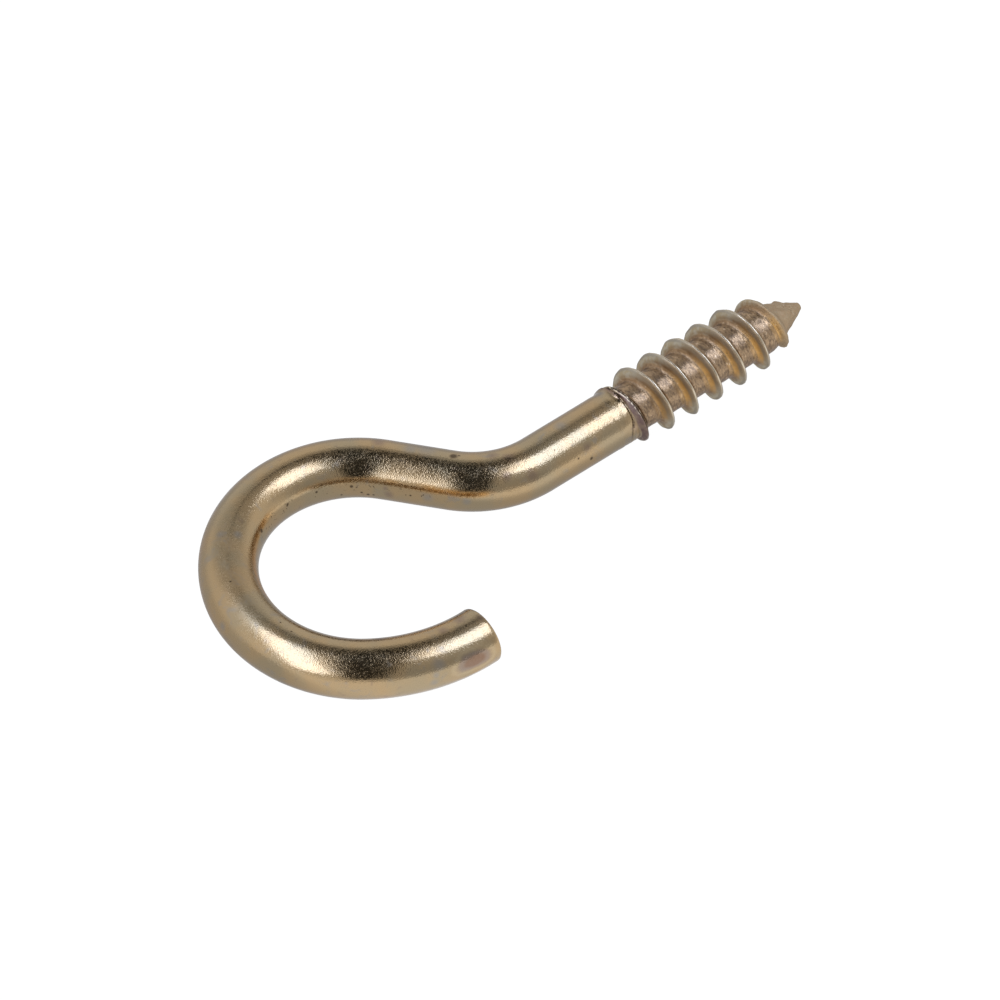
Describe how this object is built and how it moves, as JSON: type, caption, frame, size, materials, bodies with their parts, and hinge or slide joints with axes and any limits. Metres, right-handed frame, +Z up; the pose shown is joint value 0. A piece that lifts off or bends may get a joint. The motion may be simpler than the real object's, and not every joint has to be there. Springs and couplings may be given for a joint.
{
  "type": "screw hook",
  "caption": "Open round-wire screw hook with an offset neck and a coarse wood-screw thread rolled onto its shank.",
  "frame": {"origin": "on the shank's axis, where the plain shank ends and the thread begins", "axes": "+X along the shank towards the screw's point, the hook flat in the XY plane with its crown towards +Y and its mouth towards -Y, +Z up with the hook lying on its side"},
  "size_m": [0.0507, 0.0235, 0.0054],
  "materials": {
    "yellow_zinc": "yellow-passivated zinc plating on drawn steel wire, worn to bare metal in the thread"
  },
  "bodies": {
    "root": {"screw_hook": "yellow_zinc"}
  },
  "joints": []
}
